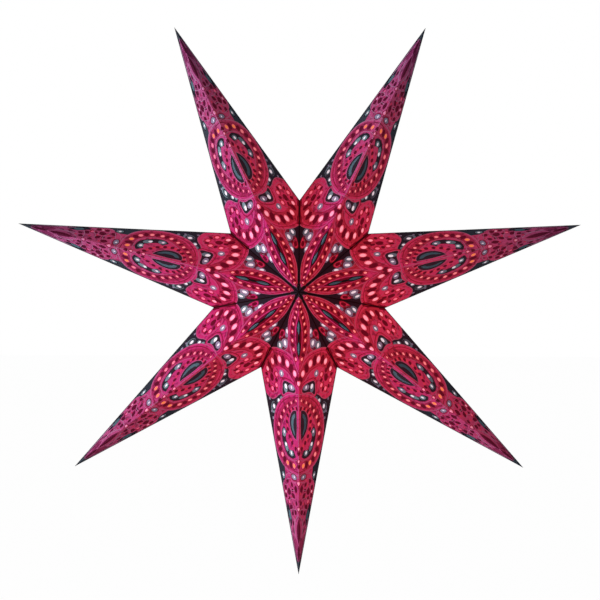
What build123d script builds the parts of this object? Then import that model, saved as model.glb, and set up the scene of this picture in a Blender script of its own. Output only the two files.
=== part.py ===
from build123d import *
import math
import os

# Star outline, seen along its axis
POINTS = 7
TIP_RADIUS = 300.0
VALLEY_RADIUS = 91.5
HALF_DEPTH = 92.0

# Laminate of the facets and the clearances of its folds
CARD = 0.4
COLOUR_PAPER = 0.1
CREASE_GAP = 0.1
BACK_RIDGE_GAP = 0.45

# Punched windows of a facet, their places along the ridge from the apex and then away from the ridge
WINDOW_CORNERS = 6
BEAD_CORNERS = 4
LEAF_BEADS = 3
LEAF_START = 30.0
LEAF_PITCH = 17.5
LEAF_ASIDE = 12.5
LEAF_BEAD = (6.4, 5.4)
LOBE_CENTRE = (112.0, 31.0)
LOBE_RADIUS = 28.8
LOBE_WINDOWS = 4
LOBE_FIRST_ANGLE = 134.0
LOBE_LAST_ANGLE = 225.0
LOBE_WINDOW = (8.6, 7.8)
MEDALLION_PLACE = 154.0
MEDALLION_LEAN = 0.2
MEDALLION_REACH_ALONG = 38.0
MEDALLION_REACH_ASIDE = 40.5
MEDALLION_BEADS = 8
MEDALLION_BEAD = (7.0, 5.8)
CRESCENT_CENTRE = (145.5, 10.5)
CRESCENT = (32.0, 12.0)

# Closing flaps and self-gripping dots of the seam
FLAP = 0.4
FLAP_DEPTH = 8.0
FLAP_START = 59.7
FLAP_END = 96.0
FLAP_TAPER = 4.0
DOTS = 2
DOT_RADIUS = 2.8
DOT_SIDES = 8
DOT_THICKNESS = 0.8
DOT_GAP = 0.1

# Lampholder for the small screw thread
SEAT_GAP = 0.4
ENTRY_RADIUS = 4.5
ENTRY_LENGTH = 10.0
NECK_RADIUS = 6.5
NECK_HEIGHT = 5.0
CONE_HEIGHT = 8.6
HOLDER_RADIUS = 14.0
HOLDER_FOOT_RADIUS = 13.2
CAP_HEIGHT = 24.0
CAP_WALL = 1.8
SPIGOT_LENGTH = 7.0
HOLDER_LENGTH = 56.0
SKIRT_BORE = 10.8
BLOCK_TOP = 18.0
BLOCK_FOOT = 28.0
BLOCK_BORE = 1.6
SHELL_RADIUS = 7.45
SHELL_WALL = 0.4
SHELL_FOOT = 50.0
CONTACT_RADIUS = 2.6
CONTACT_THICKNESS = 1.2

# Ball bulb
BULB_PLAY = 0.3
FOOT_RADIUS = 2.2
FOOT_TIP_RADIUS = 1.3
INSULATOR_RADIUS = 5.2
INSULATOR_HEIGHT = 3.4
BASE_RADIUS = 6.8
BASE_WALL = 0.5
BASE_LENGTH = 20.0
BASE_LIP = 1.6
GLOBE_RADIUS = 22.5
BULB_LENGTH = 78.0
GLASS = 0.9
NECK_IN_BASE = 9.0
SHOULDER_RADIUS = 18.0

SHEET = CARD + COLOUR_PAPER
HALF_STEP = 180 / POINTS


def ray(azimuth, radius):
    """Point in the star's middle plane, its azimuth turned clockwise from the top."""
    turn = math.radians(azimuth)
    return Vector(radius * math.sin(turn), 0, radius * math.cos(turn))


def meet(first, second, third):
    """Point shared by three planes, each a normal with its distance from the star's centre."""
    (a, da), (b, db), (c, dc) = first, second, third
    above = b.cross(c) * da + c.cross(a) * db + a.cross(b) * dc
    return above * (1 / a.dot(b.cross(c)))


def solid_between(outer, inner):
    """Closed solid between two triangles with matching corners."""
    rings = [outer, inner]
    for i in range(len(outer)):
        j = (i + 1) % len(outer)
        rings.append([outer[i], outer[j], inner[j], inner[i]])
    return Solid(Shell([Face(Wire.make_polygon(ring, close=True)) for ring in rings]))


# The front left facet of a point that stands straight up
front_apex = Vector(0, -HALF_DEPTH, 0)
tip = ray(0, TIP_RADIUS)
valley = ray(-HALF_STEP, VALLEY_RADIUS)
ridge_way = tip - front_apex
outward = (valley - front_apex).cross(ridge_way).normalized()
if outward.dot(tip) < 0:
    outward = outward * -1
outer_distance = outward.dot(tip)
inner_distance = outer_distance - SHEET
ridge_length = ridge_way.length
facet_plane = Plane(origin=front_apex, x_dir=ridge_way, z_dir=outward)


def window(u, v, size, turn, corners):
    """Window with a few straight cuts, its length turned away from the ridge line."""
    length, width = size
    outline = []
    for i in range(corners):
        angle = math.radians(i * 360 / corners)
        outline.append((length / 2 * math.cos(angle), width / 2 * math.sin(angle)))
    return Pos(u, v) * Rot(0, 0, turn) * Polygon(*outline, align=None)


def windows():
    """Beads of the leaf by the apex, lobe by the valley, and medallion half way along the point."""
    cut = Sketch()
    for i in range(LEAF_BEADS):
        cut += window(LEAF_START + i * LEAF_PITCH, LEAF_ASIDE, LEAF_BEAD, 0, BEAD_CORNERS)
    for i in range(LOBE_WINDOWS):
        turn = LOBE_FIRST_ANGLE + (LOBE_LAST_ANGLE - LOBE_FIRST_ANGLE) * i / (LOBE_WINDOWS - 1)
        u = LOBE_CENTRE[0] + LOBE_RADIUS * math.cos(math.radians(turn))
        v = LOBE_CENTRE[1] + LOBE_RADIUS * math.sin(math.radians(turn))
        cut += window(u, v, LOBE_WINDOW, turn, WINDOW_CORNERS)
    for i in range(MEDALLION_BEADS):
        turn = (i + 0.5) * 180 / MEDALLION_BEADS
        v = MEDALLION_REACH_ASIDE * math.sin(math.radians(turn))
        u = MEDALLION_PLACE + MEDALLION_LEAN * v + MEDALLION_REACH_ALONG * math.cos(math.radians(turn))
        cut += window(u, v, MEDALLION_BEAD, turn, BEAD_CORNERS)
    cut += window(*CRESCENT_CENTRE, CRESCENT, 0, WINDOW_CORNERS)
    return cut


def facet(ridge_gap):
    """Front left facet, its edges mitred at the folds and its windows cut to the colour paper."""
    ridge = (Vector(1, 0, 0), -ridge_gap)
    fold = (ray(-HALF_STEP - 90, 1), -CREASE_GAP)
    middle = (Vector(0, 1, 0), -CREASE_GAP)
    corners = []
    for distance in (outer_distance, inner_distance):
        face = (outward, distance)
        corners.append([meet(face, ridge, fold), meet(face, ridge, middle), meet(face, fold, middle)])
    return solid_between(*corners) - extrude(facet_plane * windows(), amount=-CARD)


def turned(profile):
    """Solid of a closed outline of radius and height, turned about the lamp's axis."""
    return revolve(make_face(Plane.XZ * Polyline(*profile, close=True)), axis=Axis.Z)


pieces = {}

front = facet(CREASE_GAP)
back = mirror(facet(BACK_RIDGE_GAP), about=Plane.XZ)
for number in range(1, POINTS + 1):
    stand = Rot(0, (2 * number - 1) * HALF_STEP, 0)
    for name, sheet in (("front", front), ("back", back)):
        pieces[f"point_{number}_{name}_left"] = stand * sheet
        pieces[f"point_{number}_{name}_right"] = stand * mirror(sheet, about=Plane.YZ)

# Closing flaps along the seam, which lies in the plane of the axis and the top valley
seam_turn = Rot(0, HALF_STEP, 0)
seam_facet = Plane(seam_turn * facet_plane.location)
crease = (ray(0, VALLEY_RADIUS) - front_apex).normalized()
into_star = Vector(0, crease.Z, -crease.Y)
flap_corners = [
    front_apex + crease * FLAP_START - into_star * SHEET,
    front_apex + crease * FLAP_END - into_star * SHEET,
    front_apex + crease * (FLAP_END - FLAP_TAPER) + into_star * FLAP_DEPTH,
    front_apex + crease * (FLAP_START + FLAP_TAPER) + into_star * FLAP_DEPTH,
]
flap_inside = DOT_THICKNESS + DOT_GAP / 2
flap_face = Pos(flap_inside, 0, 0) * Face(Wire.make_polygon(flap_corners, close=True))
flap_blank = extrude(flap_face, amount=FLAP, dir=(1, 0, 0))
flap = split(flap_blank, bisect_by=seam_facet.offset(-SHEET), keep=Keep.BOTTOM)
loop_dots = []
for i in range(DOTS):
    along = FLAP_START + (FLAP_END - FLAP_START) * (i + 1) / (DOTS + 1)
    middle = front_apex + crease * along + into_star * (FLAP_DEPTH / 2 + SHEET)
    disc = extrude(RegularPolygon(DOT_RADIUS, DOT_SIDES), amount=DOT_THICKNESS)
    loop_dots.append(Pos(DOT_GAP / 2, middle.Y, middle.Z) * Rot(0, 90, 0) * disc)
loop = Compound(children=loop_dots)
pieces["seam_flap_1_front"] = flap
pieces["seam_flap_1_back"] = mirror(flap, about=Plane.XZ)
pieces["seam_flap_7_front"] = mirror(flap, about=Plane.YZ)
pieces["seam_flap_7_back"] = mirror(pieces["seam_flap_7_front"], about=Plane.XZ)
pieces["loop_dots_front"] = loop
pieces["loop_dots_back"] = mirror(loop, about=Plane.XZ)
pieces["hook_dots_front"] = mirror(loop, about=Plane.YZ)
pieces["hook_dots_back"] = mirror(pieces["hook_dots_front"], about=Plane.XZ)

# Heights of the lamp are counted down from the mouth of the cord entry, which sits under the seam
seam_outward = seam_facet.z_dir
roof = (inner_distance + seam_outward.Y * NECK_RADIUS) / seam_outward.Z
entry_height = roof - SEAT_GAP

cone_foot = NECK_HEIGHT + CONE_HEIGHT
cap_bore = HOLDER_RADIUS - CAP_WALL
pieces["holder_cap"] = turned(
    [
        (ENTRY_RADIUS, 0),
        (NECK_RADIUS, 0),
        (NECK_RADIUS, -NECK_HEIGHT),
        (HOLDER_RADIUS, -cone_foot),
        (HOLDER_RADIUS, -CAP_HEIGHT),
        (cap_bore, -CAP_HEIGHT),
        (cap_bore, -cone_foot - CAP_WALL),
        (ENTRY_RADIUS + CAP_WALL, -ENTRY_LENGTH),
        (ENTRY_RADIUS, -ENTRY_LENGTH),
    ]
)
pieces["holder_skirt"] = turned(
    [
        (SKIRT_BORE, -CAP_HEIGHT + SPIGOT_LENGTH),
        (cap_bore, -CAP_HEIGHT + SPIGOT_LENGTH),
        (cap_bore, -CAP_HEIGHT),
        (HOLDER_RADIUS, -CAP_HEIGHT),
        (HOLDER_FOOT_RADIUS, -HOLDER_LENGTH),
        (SKIRT_BORE, -HOLDER_LENGTH),
    ]
)
pieces["contact_block"] = turned(
    [
        (BLOCK_BORE, -BLOCK_TOP),
        (SKIRT_BORE, -BLOCK_TOP),
        (SKIRT_BORE, -BLOCK_FOOT),
        (BLOCK_BORE, -BLOCK_FOOT),
    ]
)
pieces["threaded_shell"] = turned(
    [
        (SHELL_RADIUS - SHELL_WALL, -BLOCK_FOOT),
        (SHELL_RADIUS, -BLOCK_FOOT),
        (SHELL_RADIUS, -SHELL_FOOT),
        (SHELL_RADIUS - SHELL_WALL, -SHELL_FOOT),
    ]
)
contact_foot = BLOCK_FOOT + CONTACT_THICKNESS
pieces["middle_contact"] = turned(
    [
        (0, -BLOCK_FOOT),
        (CONTACT_RADIUS, -BLOCK_FOOT),
        (CONTACT_RADIUS, -contact_foot),
        (0, -contact_foot),
    ]
)

# Bulb, hanging with its base up
bulb_top = contact_foot + BULB_PLAY
insulator_top = bulb_top + FOOT_RADIUS / 2
base_top = insulator_top + INSULATOR_HEIGHT
base_foot = base_top + BASE_LENGTH
pieces["bulb_foot_contact"] = turned(
    [
        (0, -bulb_top),
        (FOOT_TIP_RADIUS, -bulb_top),
        (FOOT_RADIUS, -insulator_top),
        (0, -insulator_top),
    ]
)
pieces["bulb_insulator"] = turned(
    [
        (0, -insulator_top),
        (FOOT_RADIUS, -insulator_top),
        (INSULATOR_RADIUS, -base_top),
        (0, -base_top),
    ]
)
base_bore = BASE_RADIUS - BASE_WALL
pieces["bulb_base"] = turned(
    [
        (0, -base_top),
        (INSULATOR_RADIUS, -base_top),
        (BASE_RADIUS, -base_top - BASE_LIP),
        (BASE_RADIUS, -base_foot + BASE_LIP),
        (BASE_RADIUS + BASE_LIP / 2, -base_foot),
        (base_bore, -base_foot),
        (base_bore, -base_top - BASE_LIP),
        (0, -base_top - BASE_LIP),
    ]
)
globe_centre = bulb_top + BULB_LENGTH - GLOBE_RADIUS
neck_top = base_foot - NECK_IN_BASE
spread = SHOULDER_RADIUS
spread_rise = math.sqrt(GLOBE_RADIUS**2 - spread**2)
glass_bore = GLOBE_RADIUS - GLASS
inner_spread = spread * glass_bore / GLOBE_RADIUS
inner_rise = spread_rise * glass_bore / GLOBE_RADIUS
outer_neck = [(base_bore, -neck_top), (base_bore, -base_foot), (spread, -globe_centre + spread_rise)]
outer_arc = [(GLOBE_RADIUS, -globe_centre), (0, -globe_centre - GLOBE_RADIUS)]
inner_arc = [(glass_bore, -globe_centre), (inner_spread, -globe_centre + inner_rise)]
inner_neck = [(base_bore - GLASS, -base_foot), (base_bore - GLASS, -neck_top)]
globe_outline = [
    Polyline(*outer_neck),
    ThreePointArc(outer_neck[-1], *outer_arc),
    Line(outer_arc[-1], (0, -globe_centre - glass_bore)),
    ThreePointArc((0, -globe_centre - glass_bore), *inner_arc),
    Polyline(inner_arc[-1], *inner_neck),
    Line(inner_neck[-1], outer_neck[0]),
]
pieces["bulb_globe"] = revolve(make_face(Plane.XZ * (Curve() + globe_outline)), axis=Axis.Z)

LAMP = (
    "holder_cap",
    "holder_skirt",
    "contact_block",
    "threaded_shell",
    "middle_contact",
    "bulb_foot_contact",
    "bulb_insulator",
    "bulb_base",
    "bulb_globe",
)

os.makedirs("parts", exist_ok=True)
for name, piece in pieces.items():
    placed = piece if name in LAMP else Pos(0, 0, -entry_height) * piece
    export_step(placed, f"parts/{name}.step")
print(f"{len(pieces)} pieces, star centre {-entry_height:.4f} mm below the cord entry")
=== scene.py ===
"""Visual model of a paper star: punched sheets, a lampholder and a bulb, on a pale stage."""

import math

import bpy
from mathutils import Matrix, Vector
from mathutils.geometry import delaunay_2d_cdt


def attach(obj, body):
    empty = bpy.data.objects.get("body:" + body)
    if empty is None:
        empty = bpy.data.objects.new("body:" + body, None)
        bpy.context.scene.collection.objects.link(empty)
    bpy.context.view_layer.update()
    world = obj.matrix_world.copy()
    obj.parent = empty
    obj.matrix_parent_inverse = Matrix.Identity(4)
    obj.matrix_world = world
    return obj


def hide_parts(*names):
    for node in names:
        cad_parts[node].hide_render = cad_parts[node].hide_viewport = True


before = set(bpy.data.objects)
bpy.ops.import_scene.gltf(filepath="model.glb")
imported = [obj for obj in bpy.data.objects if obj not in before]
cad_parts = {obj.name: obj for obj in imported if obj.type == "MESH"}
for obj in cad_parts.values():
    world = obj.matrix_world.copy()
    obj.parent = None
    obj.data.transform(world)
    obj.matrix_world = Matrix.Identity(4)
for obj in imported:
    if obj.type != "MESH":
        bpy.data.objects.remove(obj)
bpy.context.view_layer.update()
bpy.ops.object.select_all(action="DESELECT")

MM = 0.001

# Sizes of the star in millimetres, as in the part's source
POINTS = 7
TIP_RADIUS = 300.0
VALLEY_RADIUS = 91.5
HALF_DEPTH = 92.0
SHEET = 0.5
STAR_CENTRE = Vector((0, 0, -83.651))
HALF_STEP = math.pi / POINTS

# Gap at a crease, narrower than in the source so that the sheets meet, and depth of a pressed window
CREASE_GAP = 0.004
PUNCH_DEPTH = 0.35

# Light behind the sheet in millimetres: its middle, and how far from it the ink begins and ends its painted
# fade to a cooler colour, painted light where the lamp's glow weakens
GLOW_CENTRE = Vector((6, 0, -118))
PAINTED_FADE_FROM, PAINTED_FADE_TO = 100.0, 260.0

# Grain of the sheet, with widths and heights in millimetres: uneven dye, pooled ink, waves and fibres.
# The fibres are drawn coarser than real ones, which are too fine to show.
MOTTLE, MOTTLE_CONTRAST = 14.0, 0.24
BLOTCH, POOL_FROM, POOL_TO = 4.5, 0.5, 0.68
WAVE, WAVE_HEIGHT, WAVE_STRENGTH = 45.0, 4.0, 0.35
FIBRE, FIBRE_HEIGHT, FIBRE_STRENGTH = 1.6, 0.15, 0.3
PAPER_ROUGH, ROUGH_SPREAD, PAPER_SHINE = 0.72, 0.1, 0.03

# Grain of the solid pieces: the share by which it shifts their roughness, and the strength of its bump
GLOSS_SPREAD, GRAIN_STRENGTH = 0.2, 0.5


def linear(code):
    """Linear colour of an sRGB hex value."""
    parts = [int(code[i : i + 2], 16) / 255 for i in (1, 3, 5)]
    return [c / 12.92 if c <= 0.04045 else ((c + 0.055) / 1.055) ** 2.4 for c in parts] + [1.0]


def add(tree, kind, inputs=(), **settings):
    """Adds a node with its settings; inputs are numbers, colours or the sockets that feed it."""
    node = tree.nodes.new(kind)
    for key, value in settings.items():
        setattr(node, key, value)
    for socket, value in dict(inputs).items():
        if isinstance(value, bpy.types.NodeSocket):
            tree.links.new(value, node.inputs[socket])
        else:
            node.inputs[socket].default_value = value
    return node


def blank(name):
    """New material with no nodes."""
    material = bpy.data.materials.new(name)
    material.use_nodes = True
    material.node_tree.nodes.clear()
    return material, material.node_tree


def printed_tone_with_painted_fade(tree, mottle, reach, colour, tip_colour):
    """Ink or dye of an uneven tone, with a painted fade: on its way out from the lamp it turns to
    tip_colour, painted light where the lamp's glow weakens.
    """
    base = linear(colour)[:3]
    dark = [c * (1 - MOTTLE_CONTRAST) for c in base] + [1]
    light = [min(c * (1 + MOTTLE_CONTRAST), 1) for c in base] + [1]
    tone = add(tree, "ShaderNodeMix", {"Factor": mottle, "A": dark, "B": light}, data_type="RGBA")
    if not tip_colour:
        return tone.outputs["Result"]
    painted_fade = add(
        tree,
        "ShaderNodeMapRange",
        {"Value": reach, "From Min": PAINTED_FADE_FROM * MM, "From Max": PAINTED_FADE_TO * MM},
        interpolation_type="SMOOTHSTEP",
    )
    outer = add(
        tree,
        "ShaderNodeMix",
        {"Factor": painted_fade.outputs["Result"], "A": tone.outputs["Result"], "B": linear(tip_colour)},
        data_type="RGBA",
    )
    return outer.outputs["Result"]


def pooled_ink(tree, place, ink, light, blotch):
    """Ink, and the light that comes through it, both held back where the ink has pooled."""
    pool = add(tree, "ShaderNodeTexNoise", {"Vector": place, "Scale": 1 / (BLOTCH * MM), "Detail": 1.0})
    let_by = add(
        tree,
        "ShaderNodeMapRange",
        {
            "Value": pool.outputs["Fac"],
            "From Min": POOL_FROM,
            "From Max": POOL_TO,
            "To Min": 1.0,
            "To Max": 1 - blotch,
        },
        interpolation_type="SMOOTHSTEP",
    ).outputs["Result"]
    darker = add(
        tree,
        "ShaderNodeMix",
        {"Factor": 1.0, "A": ink, "B": let_by},
        data_type="RGBA",
        blend_type="MULTIPLY",
    )
    dimmer = add(tree, "ShaderNodeMath", {0: light, 1: let_by}, operation="MULTIPLY")
    return darker.outputs["Result"], dimmer.outputs[0]


def paper_relief(tree, place):
    """Slight waves of a hung sheet, with fibres on them."""
    waves = add(tree, "ShaderNodeTexNoise", {"Vector": place, "Scale": 1 / (WAVE * MM), "Detail": 2.0})
    bowed = add(
        tree,
        "ShaderNodeBump",
        {"Height": waves.outputs["Fac"], "Strength": WAVE_STRENGTH, "Distance": WAVE_HEIGHT * MM},
    )
    fibres = add(tree, "ShaderNodeTexNoise", {"Vector": place, "Scale": 1 / (FIBRE * MM), "Detail": 2.0})
    rough = add(
        tree,
        "ShaderNodeBump",
        {
            "Height": fibres.outputs["Fac"],
            "Strength": FIBRE_STRENGTH,
            "Distance": FIBRE_HEIGHT * MM,
            "Normal": bowed.outputs["Normal"],
        },
    )
    return rough.outputs["Normal"]


def lit_paper(name, colour, glow, strength, near=40.0, far=290.0, tip_colour=None, blotch=0.0):
    """Paper with the lamp behind it: matte, mottled, slightly wavy, and brighter towards the lamp.

    The glow fades from near to far, in millimetres from the lamp. On its way out the ink's colour
    has a painted fade to tip_colour, painted light where the glow weakens, and blotch is the share of
    colour and light that pooled ink holds back.
    """
    material, tree = blank(name)
    place = add(tree, "ShaderNodeTexCoord").outputs["Object"]
    mottle = add(
        tree,
        "ShaderNodeTexNoise",
        {"Vector": place, "Scale": 1 / (MOTTLE * MM), "Detail": 3.0, "Roughness": 0.6},
    ).outputs["Fac"]
    apart = add(tree, "ShaderNodeVectorMath", {0: place, 1: GLOW_CENTRE * MM}, operation="DISTANCE")
    reach = apart.outputs["Value"]
    ink = printed_tone_with_painted_fade(tree, mottle, reach, colour, tip_colour)
    light = add(
        tree,
        "ShaderNodeMapRange",
        {"Value": reach, "From Min": near * MM, "From Max": far * MM, "To Min": strength, "To Max": 0.0},
        interpolation_type="SMOOTHSTEP",
    ).outputs["Result"]
    if blotch:
        ink, light = pooled_ink(tree, place, ink, light, blotch)
    matte = add(
        tree,
        "ShaderNodeMapRange",
        {"Value": mottle, "To Min": PAPER_ROUGH - ROUGH_SPREAD, "To Max": PAPER_ROUGH + ROUGH_SPREAD},
    )
    shader = add(
        tree,
        "ShaderNodeBsdfPrincipled",
        {
            "Base Color": ink,
            "Roughness": matte.outputs["Result"],
            "Specular IOR Level": PAPER_SHINE,
            "Normal": paper_relief(tree, place),
            "Emission Color": linear(glow),
            "Emission Strength": light,
        },
    )
    add(tree, "ShaderNodeOutputMaterial", {"Surface": shader.outputs["BSDF"]})
    return material


def solid(name, dark, light, rough, grain, depth, stretch=(1, 1, 1), kind="ShaderNodeTexNoise", **sockets):
    """Solid stuff: a grain of some millimetres shifts its tone, its roughness and its height."""
    material, tree = blank(name)
    place = add(tree, "ShaderNodeTexCoord").outputs["Object"]
    drawn = add(tree, "ShaderNodeMapping", {"Vector": place, "Scale": stretch})
    grains = add(tree, kind, {"Vector": drawn.outputs["Vector"], "Scale": 1 / (grain * MM)})
    level = grains.outputs[0]
    ends = {"A": linear(dark), "B": linear(light)}
    tone = add(tree, "ShaderNodeMix", {"Factor": level, **ends}, data_type="RGBA")
    spread_of_gloss = {"To Min": rough * (1 - GLOSS_SPREAD), "To Max": rough * (1 + GLOSS_SPREAD)}
    gloss = add(tree, "ShaderNodeMapRange", {"Value": level, **spread_of_gloss})
    bump = add(tree, "ShaderNodeBump", {"Height": level, "Strength": GRAIN_STRENGTH, "Distance": depth * MM})
    values = {
        "Base Color": tone.outputs["Result"],
        "Roughness": gloss.outputs["Result"],
        "Normal": bump.outputs["Normal"],
    }
    for socket, value in sockets.items():
        values[socket.replace("_", " ")] = value
    shader = add(tree, "ShaderNodeBsdfPrincipled", values)
    add(tree, "ShaderNodeOutputMaterial", {"Surface": shader.outputs["BSDF"]})
    return material


# Inks printed on the card, and the dyed papers that show through the punched windows.
# All are matte: print and dye sink into the paper and leave it no shine.
# Where an ink has a last colour, that colour is painted light: the cooler look it fades to towards the tips,
# where the lamp's glow weakens
FINISHES = {
    # thick dark ink that lets hardly any light by, so it reads as night between the bright figures
    "ground": lit_paper("dark blue grey ink on card", "#1f2430", "#c01428", 0.034, 40, 210, "#3c424e"),
    # black ink along the outline and the creases, the darkest on the sheet
    "edge": lit_paper("black ink on card", "#0b0d11", "#c01020", 0.02, 40, 160),
    # main ink: glows red by the lamp, fades to a cool pink at the tips as painted light where that glow
    # weakens, and pools in blotches
    "magenta": lit_paper("magenta ink on card", "#761870", "#ff3634", 0.49, 60, 330, "#9c4c80", 0.5),
    # band under the beads, a shade deeper than the main ink
    "crimson": lit_paper("crimson ink on card", "#5c1254", "#ff3428", 0.37, 60, 330, "#7c2e5e", 0.5),
    # contour lines, and the rings round windows that are painted shade of their punched edges; deeper again
    "wine": lit_paper("wine ink on card", "#440a34", "#ff281c", 0.24, 60, 330, "#561e40"),
    # hair lines that stand out pale on the main ink
    "line": lit_paper("lilac key line ink on card", "#8c4a82", "#ff5444", 0.3, 60, 330, "#a0749a"),
    # bars and spots, dark red where the light comes through
    "maroon": lit_paper("maroon ink on card", "#3a0828", "#ff1014", 0.11, 60, 360, "#440c2e"),
    # cool dark ground of the cells and crescents
    "night": lit_paper("blue black ink on card", "#1f212d", "#ff2848", 0.028),
    # pale halo round white windows
    "mist": lit_paper("grey teal ink on card", "#728e98", "#ffa4ce", 0.06),
    # dull blue of the crescents and of the leaf's marks
    "steel": lit_paper("blue grey ink on card", "#526b78", "#906070", 0.03),
    # purple grey ground of the patch
    "slate": lit_paper("slate ink on card", "#3c3444", "#ff4060", 0.1),
    # lighter, warmer halo than mist
    "lilac": lit_paper("pale lilac ink on card", "#8c86a4", "#e090a8", 0.16),
    # brightest of the pinks, in the large beads
    "pink_window": lit_paper("pink dyed paper, lit from behind", "#b486b8", "#ff9498", 0.96, 60, 340),
    # salmon light of the small beads
    "warm_window": lit_paper("orange dyed paper, lit from behind", "#a85890", "#ff8672", 0.97, 60, 400),
    # nearly white, the brightest spots of the sheet
    "white_window": lit_paper("white paper, lit from behind", "#d2d0e0", "#ffe2e4", 0.66, 60, 420),
    # red pink paper; as a bead's rim it is painted shade that darkens the bead towards its edge
    "rose_window": lit_paper("rose dyed paper, lit from behind", "#a04a8a", "#ff5c60", 0.74, 60, 400),
    # orange light at the far end of the medallion
    "amber_window": lit_paper("amber dyed paper, lit from behind", "#b06658", "#ff8038", 1.0, 60, 420),
    # strong pink in the rosette
    "blush_window": lit_paper("deep pink dyed paper, lit from behind", "#b0589c", "#ff6a74", 0.86, 60, 380),
    # red light that is little brighter than the ink round it
    "dim_window": lit_paper("red dyed paper, lit from behind", "#7c2464", "#ff3e34", 0.58, 60, 400),
    # inner side of the sheet, plain red and unprinted
    "back": lit_paper("red dyed paper", "#a83246", "#c02020", 0.2),
}
FINISH_NAMES = list(FINISHES)
WINDOWS = [i for i, name in enumerate(FINISH_NAMES) if name.endswith("window")]


# Front left facet of an upright point, from its flat frame to its place in the star
front_apex = Vector((0, -HALF_DEPTH, 0))
tip = Vector((0, 0, TIP_RADIUS))
valley = Vector((-VALLEY_RADIUS * math.sin(HALF_STEP), 0, VALLEY_RADIUS * math.cos(HALF_STEP)))
along_ridge = (tip - front_apex).normalized()
outward = (valley - front_apex).cross(tip - front_apex).normalized()
if outward.dot(tip) < 0:
    outward = -outward
off_ridge = outward.cross(along_ridge)
ridge_length = (tip - front_apex).length
valley_flat = ((valley - front_apex).dot(along_ridge), (valley - front_apex).dot(off_ridge))
FACET = Matrix(
    (
        (along_ridge.x, off_ridge.x, outward.x, front_apex.x),
        (along_ridge.y, off_ridge.y, outward.y, front_apex.y),
        (along_ridge.z, off_ridge.z, outward.z, front_apex.z),
        (0, 0, 0, 1),
    )
)

# Ornament of one facet, flat, in millimetres: u along the ridge from the apex, v away from the ridge.
# What is laid later covers what was laid before.
FINE_LINE, WINDOW_SHADE_RING, MARGIN, MARGIN_OVERRUN = 0.7, 1.2, 1.2, 9.0
BEAD_STEPS, RING_MARKS = 6, 17
SAME_SPOT, INSIDE_ONLY = 1e-4, 1
# Shares of a window's, a bead's, a cell's or a spot's own size
WINDOW_CORE, BEAD_BAND, BAR_LENGTH, BEAD_WIDTH = 0.7, 1.7, 0.92, 1.06
HALO_LENGTH, HALO_WIDTH, PANE_WIDTH, SPOT_SWELL = 0.72, 0.7, 0.92, 1.2
layers = []


def outline_at(u):
    """Distance from the ridge to the facet's outline at a place beyond the valley."""
    return valley_flat[1] * (ridge_length - u) / (ridge_length - valley_flat[0])


def placed(points, u, v, turn):
    """Points turned by some degrees and moved to a place."""
    c, s = math.cos(math.radians(turn)), math.sin(math.radians(turn))
    return [(u + x * c - y * s, v + x * s + y * c) for x, y in points]


def oval(u, v, length, width, turn=0.0, corners=12):
    """Round or long round spot."""
    angles = [2 * math.pi * i / corners for i in range(corners)]
    return placed([(length / 2 * math.cos(a), width / 2 * math.sin(a)) for a in angles], u, v, turn)


def spindle(u, v, length, width, turn=0.0, steps=20):
    """Two bowed sides that meet in points."""
    shares = [2 * i / steps - 1 for i in range(steps + 1)]
    side = [(x * length / 2, width / 2 * (1 - x * x)) for x in shares]
    return placed(side + [(x, -y) for x, y in side[-2:0:-1]], u, v, turn)


def turns_left(ring):
    """True for an outline that runs counter-clockwise."""
    return sum(p[0] * q[1] - q[0] * p[1] for p, q in zip(ring, ring[1:] + ring[:1])) > 0


def grown(ring, by):
    """Outline moved outwards by a small width, or inwards by a negative one."""
    count = len(ring)
    side = 1 if turns_left(ring) else -1
    out = []
    for i, (x, y) in enumerate(ring):
        (x0, y0), (x1, y1) = ring[i - 1], ring[(i + 1) % count]
        dx, dy = x1 - x0, y1 - y0
        size = math.hypot(dx, dy) or 1
        out.append((x + side * by * dy / size, y - side * by * dx / size))
    return out


def stroke(points, width):
    """Line of some width drawn along some points."""
    ahead, behind = [], []
    for i, (u, v) in enumerate(points):
        (u0, v0), (u1, v1) = points[max(i - 1, 0)], points[min(i + 1, len(points) - 1)]
        size = math.hypot(u1 - u0, v1 - v0)
        du, dv = -(v1 - v0) / size * width / 2, (u1 - u0) / size * width / 2
        ahead.append((u + du, v + dv))
        behind.append((u - du, v - dv))
    return ahead + behind[::-1]


def smooth(corners, steps=5):
    """Rounded course through a few corners (Catmull-Rom)."""
    path = []
    ends = [corners[0], *corners, corners[-1]]
    for spans in zip(ends, ends[1:], ends[2:], ends[3:]):
        for t in [i / steps for i in range(steps)]:
            point = []
            for a, b, c, d in zip(*spans):
                bend = (2 * a - 5 * b + 4 * c - d) * t**2
                sway = (3 * b - a - 3 * c + d) * t**3
                point.append(0.5 * (2 * b + (c - a) * t + bend + sway))
            path.append(tuple(point))
    return path + [tuple(corners[-1])]


def spread(course, count):
    """Evenly spaced places along a course, each with the course's direction in degrees."""
    lengths = [0.0]
    for p, q in zip(course, course[1:]):
        lengths.append(lengths[-1] + math.dist(p, q))
    places = []
    for i in range(count):
        goal = lengths[-1] * i / (count - 1)
        j = max(k for k in range(len(course) - 1) if lengths[k] <= goal)
        share = (goal - lengths[j]) / (lengths[j + 1] - lengths[j])
        (u0, v0), (u1, v1) = course[j], course[j + 1]
        turn = math.degrees(math.atan2(v1 - v0, u1 - u0))
        places.append((u0 + (u1 - u0) * share, v0 + (v1 - v0) * share, turn))
    return places


def grades(first, last, count, swell=0.0):
    """Sizes from first to last, with a swell in the middle."""
    shares = [i / (count - 1) for i in range(count)]
    return [first + (last - first) * t + swell * math.sin(math.pi * t) for t in shares]


def lay(finish, ring):
    """Lays a filled outline on the sheet."""
    layers.append((finish, ring if turns_left(ring) else ring[::-1]))


def outlined(finish, ring, width):
    """Lays a filled outline with a pale line round it."""
    lay("line", grown(ring, width))
    lay(finish, ring)


def draw(finish, course, width=FINE_LINE):
    """Draws a rounded line through a few places."""
    lay(finish, stroke(smooth(course), width))


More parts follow.
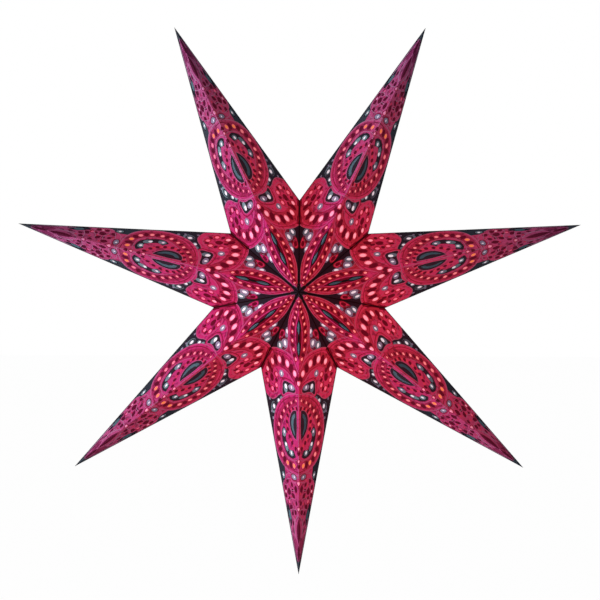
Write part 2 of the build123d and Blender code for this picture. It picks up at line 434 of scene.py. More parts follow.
def window(u, v, length, width, turn=0.0, rim="rose_window", core="pink_window"):
    """Punched window in one dyed paper, ringed in wine as painted shade of its punched edge; its rim is
    painted dimmer than its middle, as shade from that edge.
    """
    # painted shade of the punched edge, all round the window
    lay("wine", oval(u, v, length + WINDOW_SHADE_RING, width + WINDOW_SHADE_RING, turn, 14))
    # rim dimmer than the middle: painted shade of the light near the punched edge
    lay(rim, oval(u, v, length, width, turn, 14))
    lay(core, oval(u, v, length * WINDOW_CORE, width * WINDOW_CORE, turn, 10))


def cell(u, v, length, width, turn, pane):
    """Dark cell with a pale halo round one white window."""
    lay("night", oval(u, v, length, width, turn, 16))
    lay("mist", oval(u, v, length * HALO_LENGTH, width * HALO_WIDTH, turn, 14))
    lay("white_window", oval(u, v, pane, pane * PANE_WIDTH, turn))


def bead_row(places, sizes, rim, core, bar=1.34):
    """Row of round windows on a crimson band, with a dark bar, some beads wide, between each two."""
    course = smooth(places, BEAD_STEPS)
    lay("crimson", stroke(course, max(sizes) * BEAD_BAND))

    def turn_at(i):
        (u0, v0), (u1, v1) = course[max(i - 1, 0)], course[min(i + 1, len(course) - 1)]
        return math.degrees(math.atan2(v1 - v0, u1 - u0))

    for i in range(len(places) - 1):
        middle = i * BEAD_STEPS + BEAD_STEPS // 2
        size = (sizes[i] + sizes[i + 1]) / 2
        lay("maroon", oval(*course[middle], size * BAR_LENGTH, size * bar, turn_at(middle), 10))
    for i, (u, v) in enumerate(places):
        window(u, v, sizes[i], sizes[i] * BEAD_WIDTH, turn_at(i * BEAD_STEPS), rim, core)


def draw_patch():
    """Grey patch with three white windows, the crimson ground beside the leaf, and a horn by the valley."""
    patch = [(43, 21), (50, 25.4), (54, 29), (58, 34.5), (63, 38.4), (67.6, 41), (73, 41)]
    lay("slate", smooth(patch + [(77, 30), (78, 10), (58, 14)]))
    lay("maroon", oval(57.5, 31.5, 9, 12, 30))
    lay("maroon", oval(67.5, 31.5, 6, 9, -30))
    lay("lilac", oval(50, 22.6, 12, 7, 20, 16))
    lay("lilac", oval(63, 26.8, 15, 9.4, 72, 16))
    lay("mist", oval(68.3, 36.6, 12, 8.6, 58, 16))
    lay("mist", oval(57.8, 33.6, 8, 3.4, 60))
    for u, v, across in ((49, 22.6, 4.8), (62.8, 26.9, 5.8), (68.6, 37.0, 5.2)):
        lay("white_window", oval(u, v, across, across * 0.94, 20))
    beside_leaf = [(53, 18), (56, 21.6), (62, 21.4), (67.4, 23), (71.6, 28.6), (75, 26), (78, 10), (64, 12)]
    lay("crimson", smooth(beside_leaf))
    draw("line", [(55, 21.4), (61.6, 21.2), (67, 22.6), (71.6, 28)], 0.8)
    draw("wine", [(60, 18.4), (66, 18.6), (71, 21)], 1.0)
    horn = [(51.6, 26.2), (49.8, 29.2), (50.2, 32.2), (52.6, 34.8), (57, 36.8), (61.4, 37.6)]
    horn = smooth(horn + [(58.8, 34.4), (56.4, 31), (54.6, 27.8)])
    lay("wine", grown(horn, 0.9))
    lay("magenta", horn)
    lay("maroon", spindle(54.4, 32.4, 9.6, 4.6, 46, 12))


def draw_lobe():
    """Lobe beside the valley, with large beads, and the arm that joins it to the ridge."""
    near_side = [(92, 68), (83.5, 60.5), (77.6, 54), (74.4, 46), (72.9, 37), (72.2, 28), (72.4, 19)]
    near_side = smooth(near_side + [(75.2, 10), (81, 0), (85, -8)])
    far_side = [(116, -8), (118, 6), (121, 20), (119.5, 31), (123, 39), (128.4, 45), (131.8, 51)]
    far_side = smooth(far_side + [(132.2, 57), (130, 64), (124, 72)])
    outlined("magenta", near_side + far_side + [(112, 86)], 0.9)
    # Dark red strip along the valley crease: painted shade of the fold
    lay("maroon", stroke([(76, 54), valley_flat], 6.6))
    lay("wine", stroke([(u + 2.4, v) for u, v in near_side], 0.9))
    draw("wine", [(94.5, 47), (91.5, 41), (90.4, 33), (90.6, 25), (93, 17), (98, 9)], 2.4)
    draw("line", [(97.5, 39), (93.5, 33), (93, 26), (96, 17), (102, 9.5)])
    beads = [(102.7, 62), (91.2, 52.2), (84.4, 38.2), (83.8, 22.6), (90, 8.2), (98.5, 0.8)]
    bead_row(beads, [6.0, 7.6, 8.6, 8.6, 7.8, 6.0], "rose_window", "pink_window")


def draw_rosette():
    """Rosette at the lobe's end: a dark middle in a ring of windows and spots."""
    draw("line", [(96.6, 49), (98.6, 42), (104, 38.6), (111, 38.4), (118, 40.4), (124, 44.6)])
    draw("line", [(110, 68), (118.6, 67), (125.4, 60), (126.8, 52), (123.6, 45.4)])
    for u, v, across, turn in (
        (109, 63.4, 5.6, 90),
        (120.4, 58, 5.2, 30),
        (120.2, 46.8, 5.2, 150),
        (109, 43.6, 5.6, 90),
        (101.2, 52.6, 5.6, 0),
    ):
        lay("maroon", oval(u, v, across, across * 0.74, turn))
    for u, v in ((115.3, 62), (121.4, 52.2), (115, 44.2), (103, 44.2)):
        window(u, v, 6.0, 6.2, 0, "dim_window", "blush_window")
    lay("maroon", oval(109, 52.8, 8.4, 7.4, 0, 14))


def draw_heart():
    """Dark heart beside the medallion, the lilac cell in the arm, and the black crease of the valley."""
    heart = [(103.4, 21), (104.4, 27.6), (108, 31.2), (113, 31.6), (118.4, 31.8), (120, 29.4)]
    heart += [(116, 24.6), (113.4, 18), (111.6, 10), (108.6, 6.4), (104.8, 8.4), (103.2, 14)]
    heart = smooth(heart, 4)
    lay("wine", grown(heart, 3.6))
    lay("magenta", grown(heart, 2.4))
    outlined("night", heart, 0.7)
    lay("lilac", oval(98.4, 33.8, 9.4, 7.2, 66, 14))
    lay("white_window", oval(98.4, 34.0, 3.8, 3.6))
    lay("mist", oval(111.6, 25.6, 9.6, 7.4, 0, 14))
    lay("white_window", oval(109.6, 25.2, 5.6, 5.4))
    lay("lilac", oval(107.2, 14.2, 12.4, 6.2, 80, 14))
    lay("white_window", oval(107, 14.4, 3.6, 3.4))
    lay("edge", stroke([(0, 0), valley_flat], 1.5))


def draw_leaf():
    """Leaf that runs out from the apex, half on each side of the ridge."""
    flank = [(6, 0), (12, 5.0), (19, 10.2), (26, 14.8), (34, 18.4), (43, 20.2), (53, 19.9)]
    flank = smooth(flank + [(63, 17.2), (72, 12.4), (80, 6.4), (87, 0)], 6)
    outlined("magenta", flank + [(u, -v) for u, v in flank[-2:0:-1]], 0.8)
    lay("wine", stroke(grown(flank, -1.5), 0.8))
    draw("line", [(13, 3.6), (24, 10.0), (34, 15.2), (44, 17.4), (54, 17.2), (65, 14.6), (76, 8.6)], 0.6)
    beads = [(10.6, 1.5), (16.6, 3.4), (22.9, 5.2), (29.6, 8.0), (37.4, 11.0), (46.2, 12.8)]
    beads += [(55.6, 12.8), (64.7, 10.4), (73.8, 6.2)]
    bead_row(beads, grades(2.5, 4.6, len(beads), 0.7), "dim_window", "warm_window", 1.7)
    draw("wine", [(25, 1.8), (33, 6.0), (42, 8.0), (52, 8.2), (62, 6.2), (70, 2.2)], 2.2)
    lay("maroon", spindle(49.5, 0, 49, 11.0))
    lay("edge", oval(49.5, 0, 9.0, 4.4))
    for u, length in ((38.6, 18), (60.4, 18)):
        lay("edge", spindle(u, 0, length, 8.4))
        lay("steel", spindle(u, 0, length * 0.78, 4.6))


def draw_wedge():
    """Cells and dots on the dark wedge between the lobe and the medallion."""
    lay("mist", oval(141.4, 49.4, 14, 9.6, 16, 16))
    cell(140.2, 49, 11, 8, 20, 4.8)
    cell(130.4, 39.6, 10.5, 6.6, 58, 4.4)
    lay("mist", oval(125.6, 34.2, 5.6, 3.2, 56))
    for u, v, across in ((134.6, 57.4, 3.0), (147.5, 53.6, 2.6), (153.8, 50.6, 3.4)):
        lay("lilac", oval(u, v, across, across * 0.9))


def draw_medallion():
    """Medallion half way along the point, with its ring of beads, and its link to the tongue."""
    link = [(192, -6), (193, 14), (195, 27), (199, 27.6), (206, 26.6), (212, 24), (213, 8), (212, -6)]
    lay("magenta", smooth(link))
    rim = [(110.5, -8), (110.8, 0), (112.6, 8), (115.6, 16), (119.8, 24), (125.2, 31.6), (132, 38.4)]
    rim += [(140, 43.6), (149, 47), (159, 48.6), (170, 48.2), (181, 45.6), (190.6, 40.6)]
    rim += [(197.6, 33), (200.8, 23), (201, 11), (200, 0), (199.6, -8)]
    rim = smooth(rim, 4)
    outlined("magenta", rim, 1.0)
    lay("wine", stroke(grown(rim, -2.8), 1.2))
    beads = [(118.6, 5.6), (124.2, 14.9), (130.5, 22.4), (138.4, 29.4), (147.3, 35.2), (156.8, 39.4)]
    beads += [(167.3, 40.2), (178.2, 38.3), (188.4, 32.4), (194, 22.2), (192.6, 9.4)]
    bead_row(beads, grades(3.2, 6.4, len(beads)), "rose_window", "warm_window")
    for u, v in beads[-2:]:
        lay("amber_window", oval(u, v, 4.4, 4.6))
    draw("line", [(123, 3), (129.6, 13), (137.4, 20.8), (146, 27.4), (155, 32.6), (165, 34.8)])
    draw("line", [(165, 34.8), (174.6, 33.6), (183, 28.6), (187.6, 20), (186.4, 8), (182, 1)])


def draw_joined_cells():
    """Three joined cells in the far side of the medallion."""
    course = [(157, 26), (162, 29), (168, 28.8), (175, 25.4), (181, 20.6), (181.6, 13), (178, 8)]
    draw("night", course, 8.0)
    lay("mist", oval(162, 28.4, 9.4, 6.8, 8, 14))
    lay("lilac", oval(161.4, 28.4, 5.4, 5.0))
    lay("white_window", oval(161.2, 28.5, 3.2, 3.0))
    lay("mist", oval(176.2, 24, 10.8, 6.2, -34, 14))
    lay("white_window", oval(174, 25.2, 4.4, 4.2))
    lay("mist", oval(180, 14.2, 8.6, 6.4, 80, 14))
    lay("white_window", oval(179.9, 14.6, 4.0, 3.8))


def draw_crescents():
    """Crescent beside the ridge, within a ring of small windows and dark spots."""
    ring = [(127, 4), (130.4, 12), (136, 19), (143.4, 22.8), (151, 22.6), (159, 19.8)]
    ring = smooth(ring + [(166.4, 14.6), (172, 6)])
    for i, (u, v, turn) in enumerate(spread(ring, RING_MARKS)):
        if i % 2:
            lay("dim_window", oval(u, v, 4.0, 4.2, turn))
        else:
            lay("maroon", oval(u, v, 4.2, 5.2, turn))
    arch = [(129.4, 4.6), (131.6, 10.6), (137.4, 15.6), (145.4, 17.6), (153.6, 15.6)]
    arch = smooth(arch + [(159.4, 10.6), (161.8, 4.6)])
    outlined("night", arch + [(153, 4.0), (145, 3.6), (137, 4.0)], 0.8)
    outer = [(133.4, 7.4), (136.4, 11.4), (140.6, 13.8), (146, 14.6), (152, 13.2)]
    outer = smooth(outer + [(156.6, 9.6), (158.2, 7.2)])
    inner = smooth([(154, 8.2), (150, 10.0), (145.4, 10.4), (140.8, 9.6), (137.6, 7.2)])
    lay("steel", outer + inner)


def draw_tongue():
    """Tongue that runs out to the tip, scattered with dark spots and small windows."""
    root = [(203.4, -8), (203.6, 2), (203.8, 12), (205.4, 20), (210, 25), (216.4, 28.2), (221, 30)]
    flank = [(u, outline_at(u) - 1.8) for u in (226, 240, 260, 280, 294)]
    outlined("magenta", smooth(root) + flank + [(299, 0), (297, -8)], 0.8)
    cell(211, 30.2, 11, 6.6, -18, 3.2)
    lay("wine", oval(205.4, 9.2, 13, 8.4, 80, 16))
    lay("lilac", oval(205.3, 9.2, 10, 5.6, 80, 14))
    lay("white_window", oval(205.2, 9.0, 2.8, 2.6))
    for u, v, length, across, turn in (
        (214.2, 22.2, 6.0, 4.4, 30),
        (223.4, 25.8, 5.4, 4.2, -20),
        (232.4, 24.8, 5.2, 4.0, 20),
        (241.6, 14.6, 6.4, 4.6, 40),
        (227, 10.4, 6.4, 4.6, -60),
        (217.6, 5.6, 7.4, 5.2, 0),
        (244.4, 6.0, 5.6, 4.0, 10),
        (215.4, 13.4, 5.0, 3.6, -40),
        (221.6, 12.2, 4.2, 3.2, 40),
        (233.4, 4.4, 5.0, 3.4, 0),
        (242.6, 20.6, 4.6, 3.2, -20),
        (247.6, 11.4, 4.8, 3.4, 20),
        (232.6, 17.8, 4.0, 3.0, -30),
        (258.4, 10.6, 5.0, 2.8, -14),
        (267.6, 8.4, 5.0, 2.6, -14),
    ):
        lay("maroon", spindle(u, v, length * SPOT_SWELL, across * SPOT_SWELL, turn, 8))
    lay("maroon", oval(225.3, 18.6, 8.4, 6.6, 20, 14))
    for u, v, across in (
        (218.6, 18.2, 3.0),
        (229.6, 13.6, 3.0),
        (236, 9.4, 3.0),
        (222.4, 4.0, 2.8),
        (250.4, 6.8, 2.6),
        (211.4, 15.6, 2.8),
    ):
        lay("dim_window", oval(u, v, across * SPOT_SWELL, across, 12))
    window(228.2, 25.6, 4.2, 3.6, 20)
    window(236.8, 18.6, 5.6, 4.8, -20, "dim_window", "rose_window")
    for course in (
        [(209, 4), (212, 10), (210, 17), (214, 25)],
        [(220, 8), (222.6, 15), (219, 21), (221, 27)],
        [(230, 8), (231, 14), (235, 18), (236, 24)],
        [(241, 3), (242.4, 11), (246, 16.4)],
        [(252, 8.4), (262, 8.2), (272, 6.4), (284, 5.4)],
    ):
        draw("line", course)


def draw_tip():
    """Dark spindles on the ridge near the tip, and lines that follow the outline there."""
    lay("night", spindle(252, outline_at(252) - 4.0, 26, 8.0, -20))
    lay("steel", oval(251.6, outline_at(252) - 5.2, 11, 4.6, -20, 14))
    lay("wine", spindle(264, 0, 30, 7.6))
    lay("maroon", spindle(265, 0, 28, 5.4))
    draw("line", [(247, 2), (254, 6.4), (264, 8.0), (273, 6.2), (280, 2)], 0.9)
    lay("crimson", spindle(281, 5.0, 16, 7.0, -14))
    lay("maroon", spindle(290, 0, 20, 4.4))
    pale = [(u, outline_at(u) - inset) for u, inset in ((256, 2.6), (276, 2.4), (296, 2.2))]
    lay("line", stroke(pale, 0.9))
    deep = [(u, outline_at(u) - inset) for u, inset in ((272, 3.6), (288, 3.2))]
    lay("wine", stroke(deep + [(300, 2.2)], 1.6))


def draw_ridge_and_margin():
    """Pale strip on the ridge, a painted highlight of the fold, with small windows along it, and the black
    margin along the outline.
    """
    # Pale strip along the ridge: painted highlight where the fold catches the light
    lay("line", [(112, -1), (203, -0.8), (203, 0.7), (112, 0.8)])
    for u in (175.8, 190.4):
        lay("maroon", oval(u, 0.6, 4.6, 5.0))
    for u, across in ((170.4, 4.4), (184.6, 4.2), (209.6, 5.6), (239, 4.8)):
        window(u, 0, across, across * 1.3)
    start, end = Vector(valley_flat), Vector((ridge_length, 0))
    along = (end - start).normalized()
    inward = Vector((along.y, -along.x)) * MARGIN
    ends = (start - along * MARGIN_OVERRUN, end + along * MARGIN_OVERRUN)
    lay("edge", [tuple(p) for p in (*ends, ends[1] + inward, ends[0] + inward)])


def facet_corners(depth):
    """Flat corners of the sheet at a depth under its outer face, just short of the folds' middle planes."""
    fold = Vector((-math.cos(HALF_STEP), 0, -math.sin(HALF_STEP)))
    face = (outward, outward.dot(tip) - depth)
    ridge, groove, middle = [(way, -CREASE_GAP) for way in (Vector((1, 0, 0)), fold, Vector((0, 1, 0)))]
    corners = []
    for planes in ((face, ridge, groove), (face, ridge, middle), (face, groove, middle)):
        rows = Matrix([way for way, distance in planes])
        point = rows.inverted() @ Vector([distance for way, distance in planes])
        corners.append(FACET.inverted() @ point)
    return corners


def pick(piece):
    """Makes a piece the only one that operators act on."""
    bpy.ops.object.select_all(action="DESELECT")
    bpy.context.view_layer.objects.active = piece
    piece.select_set(True)


def inked_sheet(outline):
    """Flat sheet cut along the edges of its inks; each face takes the finish that lies on top there."""
    spots, rings = list(outline), [[0, 1, 2]]
    for _, ring in layers:
        rings.append(list(range(len(spots), len(spots) + len(ring))))
        spots += [Vector(p) for p in ring]
    flat, _, faces, _, _, owners = delaunay_2d_cdt(spots, [], rings, INSIDE_ONLY, SAME_SPOT)
    kept, finishes = [], []
    for face, owner in zip(faces, owners):
        if 0 in owner:
            top = max(owner)
            kept.append(face)
            finishes.append(FINISH_NAMES.index(layers[top - 1][0] if top else "ground"))
    used = sorted({i for face in kept for i in face})
    number = {old: new for new, old in enumerate(used)}
    mesh = bpy.data.meshes.new("facet")
    mesh.from_pydata([(*flat[i], 0) for i in used], [], [[number[i] for i in face] for face in kept])
    for name in FINISH_NAMES:
        mesh.materials.append(FINISHES[name])
    mesh.polygons.foreach_set("material_index", finishes)
    facet = bpy.data.objects.new("facet", mesh)
    bpy.context.scene.collection.objects.link(facet)
    return facet


def give_thickness(facet, outline):
    """Draws the rim down to the inner face, and closes that face with plain paper."""
    pick(facet)
    bpy.ops.object.mode_set(mode="EDIT")
    bpy.ops.mesh.select_all(action="SELECT")
    bpy.ops.mesh.normals_make_consistent(inside=False)
    bpy.ops.mesh.region_to_loop()
    bpy.ops.mesh.extrude_edges_move()
    bpy.ops.object.mode_set(mode="OBJECT")
    if facet.data.polygons[0].normal.z < 0:
        facet.data.flip_normals()
    a, b, c = outline
    inner = facet_corners(SHEET)
    area = (b - a).cross(c - a)
    for vertex in facet.data.vertices:
        if vertex.select:
            p = Vector(vertex.co[:2])
            share_b, share_c = (p - a).cross(c - a) / area, (b - a).cross(p - a) / area
            vertex.co = inner[0] * (1 - share_b - share_c) + inner[1] * share_b + inner[2] * share_c
    bpy.ops.object.mode_set(mode="EDIT")
    bpy.ops.mesh.edge_face_add()
    facet.active_material_index = FINISH_NAMES.index("back")
    bpy.ops.object.material_slot_assign()
    bpy.ops.mesh.select_all(action="DESELECT")
    bpy.ops.object.mode_set(mode="OBJECT")


def press_windows(facet):
    """Presses the windows in by most of the sheet's thickness."""
    for face in facet.data.polygons:
        face.select = face.material_index in WINDOWS and abs(face.normal.z) > 0.5
    bpy.ops.object.mode_set(mode="EDIT")
    bpy.ops.mesh.select_mode(type="FACE")
    bpy.ops.mesh.extrude_region_move(TRANSFORM_OT_translate={"value": (0, 0, -PUNCH_DEPTH)})
    bpy.ops.object.mode_set(mode="OBJECT")


# One facet, from the undermost ink to the margin that lies over all
draw_patch()
draw_lobe()
draw_rosette()
draw_heart()
draw_leaf()
draw_wedge()
draw_medallion()
draw_joined_cells()
draw_crescents()
draw_tongue()
draw_tip()
draw_ridge_and_margin()
outline = [corner.to_2d() for corner in facet_corners(0)]
facet = inked_sheet(outline)
give_thickness(facet, outline)
press_windows(facet)

# Sheets of the star: copies of that facet, mirrored and turned to their places, each on its own body
for number in range(1, POINTS + 1):
    azimuth = (2 * number - 1) * HALF_STEP
    stand = Matrix.Scale(MM, 4) @ Matrix.Translation(STAR_CENTRE) @ Matrix.Rotation(azimuth, 4, "Y")
    for face, depth_way in (("front", 1), ("back", -1)):
        for side, width_way in (("left", 1), ("right", -1)):
            node = f"point_{number}_{face}_{side}"
            sheet = bpy.data.objects.new(f"{node}_punched_card", facet.data.copy())
            bpy.context.scene.collection.objects.link(sheet)
            mirror = Matrix.Diagonal((width_way, depth_way, 1, 1))
            sheet.data.transform(stand @ mirror @ FACET)
            if width_way * depth_way < 0:
                sheet.data.flip_normals()
            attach(sheet, node)
            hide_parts(node)
bpy.data.objects.remove(facet)


# Sizes of the lamp in millimetres, heights counted down from the mouth of the cord entry
ENTRY_RADIUS, ENTRY_LENGTH = 4.5, 10.0
NECK_RADIUS, NECK_HEIGHT = 6.5, 5.0
HOLDER_RADIUS, HOLDER_FOOT_RADIUS = 14.0, 13.2
CONE_FOOT, CAP_HEIGHT, CAP_BORE, CAP_WALL, CAP_JOINT = 13.6, 24.0, 12.2, 1.8, 0.3
GRIP_MARGIN, FLUTE_RIM, FLUTE_DEPTH = 2.0, 0.25, 0.45
SPIGOT_TOP, SKIRT_BORE, HOLDER_LENGTH = 17.0, 10.8, 56.0
COLLAR_HEIGHT, COLLAR_DRAFT, FOOT_LIP, WAIST, WAIST_SLOPE = 3.0, 0.1, 2.4, 0.5, 0.6
CAP_EASE, SKIRT_EASE = 0.3, 0.35
SHELL_RADIUS, SHELL_BORE, SHELL_TOP, SHELL_FOOT, SHELL_THREAD = 7.45, 7.05, 28.0, 50.0, 0.15
BASE_RADIUS, BASE_BORE, BASE_TOP, BASE_FOOT, BASE_LIP, BASE_THREAD = 6.8, 6.3, 34.0, 54.0, 1.6, 0.45
SHOULDER, SHOULDER_DROP = 0.5, 0.6
INSULATOR_RADIUS = 5.2
BALL_MIDDLE = 85.0
THREAD_PITCH = 2.82

# Steps of a spin, steps from one grip flute to the next, and rings of the wall to a turn of the thread
SPIN_STEPS, FLUTE_STEPS, RINGS_A_TURN = 72, 3, 9

# Angles in degrees: corners sharper than the first are eased, and faces within the others are shaded smooth
EASED_CORNER, SMOOTH_MOULDING, SMOOTH_THREAD = 28, 35, 50

# Urea moulding: off-white, a little yellowed, with a faint orange peel and a soft shine
moulding = solid("white urea moulding", "#dedad0", "#ece9e2", 0.38, 0.9, 0.03, Coat_Weight=0.12)
# Steatite: cream ceramic with fine grey specks
steatite = solid("glazed steatite", "#cfc6b2", "#ece5d6", 0.45, 0.6, 0.02)
# Brass strip: warm and a little tarnished; its drawing marks are coarser than real ones, so that they show
brass = solid("drawn brass", "#a07a34", "#d2ae62", 0.32, 0.8, 0.01, (1, 1, 0.08), Metallic=1.0)
# Solder: dull grey bead, lumpy where it set
solder = solid("tin solder", "#8e8f92", "#c4c4c6", 0.42, 1.2, 0.12, Metallic=1.0)
# Black glass round the foot contact: smooth and wet, with slight waves from pouring
black_glass = solid("black glass", "#0b0b0d", "#16161a", 0.12, 2.0, 0.04)
# Nickel plate: pale metal, scuffed by the holder; its scuffs are coarser than real ones, so that they show
nickel = solid("nickel plate", "#a9a59c", "#d4d0c8", 0.28, 0.7, 0.01, (0.15, 0.15, 1), Metallic=1.0)
# Opal glass: milky, glowing most at the widest part of the ball
opal = solid("opal glass", "#f2e6d0", "#fff6e6", 0.22, 8.0, 0.02, Emission_Color=linear("#ffe2b0"))
# Black card: matte, with short fibres
black_card = solid("black card", "#0e1114", "#1b2025", 0.78, 0.7, 0.05)
# Hook tape: rows of small stiff hooks, which read as shiny dots; the middle of each dot is a painted
# highlight, lighter than the tape, and it is also a little less rough
hook_tape = solid("black hook tape", "#1c1c1e", "#060607", 0.5, 0.7, 0.4, kind="ShaderNodeTexVoronoi")
# Loop tape: soft fuzz with no shine
loop_tape = solid("black loop tape", "#08080a", "#202024", 0.95, 0.5, 0.4)

# Glow of the globe, growing from its neck to the middle of the ball
NECK_GLOW, MIDDLE_GLOW = 0.3, 0.6
tree = opal.node_tree
place = add(tree, "ShaderNodeTexCoord").outputs["Object"]
height = add(tree, "ShaderNodeSeparateXYZ", {"Vector": place}).outputs["Z"]
shine = add(
    tree,
    "ShaderNodeMapRange",
    {
        "Value": height,
        "From Min": -BASE_FOOT * MM,
        "From Max": -BALL_MIDDLE * MM,
        "To Min": NECK_GLOW,
        "To Max": MIDDLE_GLOW,
    },
)
tree.links.new(shine.outputs["Result"], tree.nodes["Principled BSDF"].inputs["Emission Strength"])

# CAD pieces that are shown as they are, each with its finish
for finish, names in (
    (steatite, ("contact_block",)),
    (brass, ("middle_contact",)),
    (solder, ("bulb_foot_contact",)),
    (black_glass, ("bulb_insulator",)),
    (opal, ("bulb_globe",)),
    (black_card, ("seam_flap_1_front", "seam_flap_1_back", "seam_flap_7_front", "seam_flap_7_back")),
    (hook_tape, ("hook_dots_front", "hook_dots_back")),
    (loop_tape, ("loop_dots_front", "loop_dots_back")),
):
    for name in names:
        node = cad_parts[name]
        node.data.materials.clear()
        node.data.materials.append(finish)


def turned(name, body, node, finish, profile):
    """Piece of the lamp: an outline of radius and height spun round the axis."""
    corners = [(radius * MM, 0, -depth * MM) for radius, depth in profile]
    mesh = bpy.data.meshes.new(name)
    mesh.from_pydata(corners, [(i, (i + 1) % len(corners)) for i in range(len(corners))], [])
    mesh.materials.append(finish)
    piece = bpy.data.objects.new(name, mesh)
    bpy.context.scene.collection.objects.link(piece)
    pick(piece)
    bpy.ops.object.mode_set(mode="EDIT")
    bpy.ops.mesh.select_all(action="SELECT")
    bpy.ops.mesh.spin(steps=SPIN_STEPS, angle=2 * math.pi, center=(0, 0, 0), axis=(0, 0, 1))
    bpy.ops.mesh.select_all(action="SELECT")
    bpy.ops.mesh.remove_doubles(threshold=0.001 * MM)
    bpy.ops.mesh.normals_make_consistent(inside=False)
    bpy.ops.object.mode_set(mode="OBJECT")
    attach(piece, body)
    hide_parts(node)
    return piece


def ease(piece, width):
    """Corners rounded as a mould or a press leaves them."""
    bevel = piece.modifiers.new("eased corners", "BEVEL")
    bevel.width = width * MM
    bevel.segments = 3
    bevel.angle_limit = math.radians(EASED_CORNER)
    bpy.ops.object.modifier_apply(modifier=bevel.name)
    bpy.ops.object.shade_smooth_by_angle(angle=math.radians(SMOOTH_MOULDING))


def roll_thread(piece, top, foot, depth):
    """Rounded screw thread pressed into the wall between two heights; it runs out at both ends."""
    for vertex in piece.data.vertices:
        low = -vertex.co.z / MM
        if top < low < foot:
            turn = math.atan2(vertex.co.y, vertex.co.x) / (2 * math.pi)
            run_out = min(1, (low - top) / THREAD_PITCH, (foot - low) / THREAD_PITCH)
            wave = (1 - math.cos(2 * math.pi * (low / THREAD_PITCH + turn))) / 2
            radius = math.hypot(vertex.co.x, vertex.co.y) / MM
            share = 1 - depth * run_out * wave / radius
            vertex.co.x *= share
            vertex.co.y *= share
    bpy.ops.object.shade_smooth_by_angle(angle=math.radians(SMOOTH_THREAD))


def wall(radius, top, foot):
    """Rings of a straight wall, close enough to carry a thread."""
    count = math.ceil(abs(foot - top) / THREAD_PITCH * RINGS_A_TURN)
    return [(radius, top + (foot - top) * i / count) for i in range(count + 1)]


# Lampholder's cap, skirt and threaded shell, and the bulb's base
cap = turned(
    "holder_cap_moulding",
    "lampholder",
    "holder_cap",
    moulding,
    [
        (ENTRY_RADIUS, 0),
        (NECK_RADIUS, 0),
        (NECK_RADIUS, NECK_HEIGHT),
        (HOLDER_RADIUS, CONE_FOOT),
        (HOLDER_RADIUS, CONE_FOOT + GRIP_MARGIN),
        (HOLDER_RADIUS, CAP_HEIGHT - GRIP_MARGIN),
        (HOLDER_RADIUS, CAP_HEIGHT - CAP_JOINT),
        (CAP_BORE, CAP_HEIGHT - CAP_JOINT),
        (CAP_BORE, CONE_FOOT + CAP_WALL),
        (ENTRY_RADIUS + CAP_WALL, ENTRY_LENGTH),
        (ENTRY_RADIUS, ENTRY_LENGTH),
    ],
)
# Grip flutes, pressed in all round the cap
for face in cap.data.polygons:
    x, y, z = face.center / MM
    step = round(math.atan2(y, x) / (2 * math.pi) * SPIN_STEPS - 0.5)
    outside = math.hypot(x, y) > CAP_BORE + CAP_WALL / 2
    on_grip = outside and CONE_FOOT + GRIP_MARGIN < -z < CAP_HEIGHT - GRIP_MARGIN
    face.select = on_grip and step % FLUTE_STEPS == 0
bpy.ops.object.mode_set(mode="EDIT")
bpy.ops.mesh.select_mode(type="FACE")
bpy.ops.mesh.inset(thickness=FLUTE_RIM * MM, depth=-FLUTE_DEPTH * MM, use_individual=True)
bpy.ops.object.mode_set(mode="OBJECT")
ease(cap, CAP_EASE)

skirt = turned(
    "holder_skirt_moulding",
    "lampholder",
    "holder_skirt",
    moulding,
    [
        (SKIRT_BORE, SPIGOT_TOP),
        (CAP_BORE, SPIGOT_TOP),
        (CAP_BORE, CAP_HEIGHT),
        (HOLDER_RADIUS, CAP_HEIGHT),
        (HOLDER_RADIUS - COLLAR_DRAFT, CAP_HEIGHT + COLLAR_HEIGHT),
        (HOLDER_RADIUS - COLLAR_DRAFT - WAIST, CAP_HEIGHT + COLLAR_HEIGHT + WAIST_SLOPE),
        (HOLDER_FOOT_RADIUS - WAIST, HOLDER_LENGTH - FOOT_LIP - WAIST_SLOPE),
        (HOLDER_FOOT_RADIUS, HOLDER_LENGTH - FOOT_LIP),
        (HOLDER_FOOT_RADIUS, HOLDER_LENGTH),
        (SKIRT_BORE, HOLDER_LENGTH),
    ],
)
ease(skirt, SKIRT_EASE)

shell = turned(
    "threaded_shell_brass",
    "lampholder",
    "threaded_shell",
    brass,
    wall(SHELL_RADIUS, SHELL_TOP, SHELL_FOOT) + wall(SHELL_BORE, SHELL_FOOT, SHELL_TOP),
)
roll_thread(shell, SHELL_TOP, SHELL_FOOT, SHELL_THREAD)

base = turned(
    "bulb_base_plated",
    "bulb",
    "bulb_base",
    nickel,
    [(0, BASE_TOP), (INSULATOR_RADIUS, BASE_TOP), (BASE_RADIUS - SHOULDER, BASE_TOP + SHOULDER_DROP)]
    + wall(BASE_RADIUS, BASE_TOP + BASE_LIP, BASE_FOOT - BASE_LIP)
    + [
        (BASE_RADIUS + BASE_LIP / 2, BASE_FOOT),
        (BASE_BORE, BASE_FOOT),
        (BASE_BORE, BASE_TOP + BASE_LIP),
        (0, BASE_TOP + BASE_LIP),
    ],
)
roll_thread(base, BASE_TOP + BASE_LIP, BASE_FOOT - BASE_LIP, BASE_THREAD)


# Stage, in metres: a pale floor well under the star, white all round, and two soft lamps
FLOOR_SIZE, FLOOR_HEIGHT, FLOOR_WHITENESS = 12.0, -0.62, 0.985
SKY_LIGHT = 0.26
KEY_PLACE, KEY_SIZE, KEY_POWER = (-2.0, -0.75, 0.0), 1.0, 34
FILL_PLACE, FILL_SIZE, FILL_POWER = (0.3, -2.4, 0.5), 1.4, 4
centre = STAR_CENTRE * MM


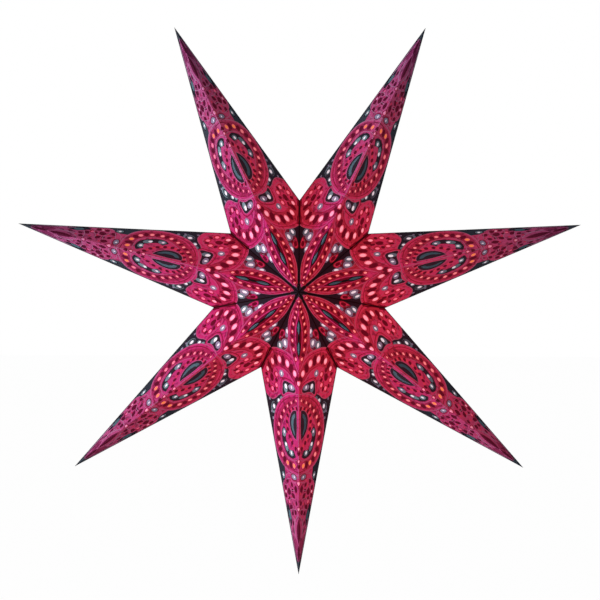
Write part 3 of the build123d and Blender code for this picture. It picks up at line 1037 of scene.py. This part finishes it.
def looked_at(tree):
    """1 for rays by which the eye sees a surface, straight or in metal and glass, and 0 for its light."""
    path = add(tree, "ShaderNodeLightPath")
    mirrored = add(
        tree,
        "ShaderNodeMath",
        {0: path.outputs["Is Camera Ray"], 1: path.outputs["Is Glossy Ray"]},
        operation="MAXIMUM",
    )
    every = add(
        tree,
        "ShaderNodeMath",
        {0: mirrored.outputs[0], 1: path.outputs["Is Transmission Ray"]},
        operation="MAXIMUM",
    )
    return every.outputs[0]


def pale_surface(name, share):
    """Pale stage surface that the camera sees as nearly white, and that still takes shade."""
    material, tree = blank(name)
    seen = add(tree, "ShaderNodeMath", {0: looked_at(tree), 1: share}, operation="MULTIPLY")
    matte = add(tree, "ShaderNodeBsdfDiffuse", {"Color": linear("#f2f2f0")})
    white = add(tree, "ShaderNodeEmission", {"Color": (1, 1, 1, 1), "Strength": 1.0})
    both = add(tree, "ShaderNodeMixShader", {0: seen.outputs[0], 1: matte.outputs[0], 2: white.outputs[0]})
    add(tree, "ShaderNodeOutputMaterial", {"Surface": both.outputs[0]})
    return material


def softbox(name, location, size, power):
    """Square soft lamp aimed at the middle of the star."""
    lamp = bpy.data.lights.new(name, "AREA")
    lamp.shape = "SQUARE"
    lamp.size = size
    lamp.energy = power
    holder = bpy.data.objects.new(name, lamp)
    bpy.context.scene.collection.objects.link(holder)
    holder.location = location
    holder.rotation_euler = (centre - Vector(location)).to_track_quat("-Z", "Y").to_euler()


bpy.ops.mesh.primitive_plane_add(size=FLOOR_SIZE, location=(0, 0, FLOOR_HEIGHT))
floor = bpy.context.object
floor.name = "floor"
floor.data.materials.append(pale_surface("pale floor", FLOOR_WHITENESS))

world = bpy.data.worlds.new("studio")
bpy.context.scene.world = world
world.use_nodes = True
world.node_tree.nodes.clear()
tree = world.node_tree
level = add(tree, "ShaderNodeMapRange", {"Value": looked_at(tree), "To Min": SKY_LIGHT, "To Max": 1.0})
sky = add(tree, "ShaderNodeBackground", {"Color": (1, 1, 1, 1), "Strength": level.outputs["Result"]})
add(tree, "ShaderNodeOutputWorld", {"Surface": sky.outputs[0]})

softbox("key on the left", KEY_PLACE, KEY_SIZE, KEY_POWER)
softbox("fill in front", FILL_PLACE, FILL_SIZE, FILL_POWER)

# Camera at the photograph's viewing angle: distance in metres, focal length and image middle in pixels
AZIMUTH, ELEVATION, ROLL = math.radians(0.3), math.radians(2.2), math.radians(0.14)
DISTANCE, FOCAL_PX = 1.8, 1729.4
IMAGE_PX = 600
CENTRE_PX = (299.3, 288.3)
SENSOR_MM = 36
camera = bpy.data.objects.new("camera", bpy.data.cameras.new("camera"))
bpy.context.scene.collection.objects.link(camera)
back_way = Vector(
    (
        math.sin(AZIMUTH) * math.cos(ELEVATION),
        -math.cos(AZIMUTH) * math.cos(ELEVATION),
        math.sin(ELEVATION),
    )
)
camera.location = centre + back_way * DISTANCE
turn = back_way.to_track_quat("Z", "Y").to_matrix().to_4x4() @ Matrix.Rotation(ROLL, 4, "Z")
camera.rotation_euler = turn.to_euler()
camera.data.sensor_width = SENSOR_MM
camera.data.lens = SENSOR_MM * FOCAL_PX / IMAGE_PX
camera.data.shift_x = (IMAGE_PX / 2 - CENTRE_PX[0]) / IMAGE_PX
camera.data.shift_y = (CENTRE_PX[1] - IMAGE_PX / 2) / IMAGE_PX
bpy.context.scene.camera = camera
bpy.context.scene.view_settings.view_transform = "Standard"
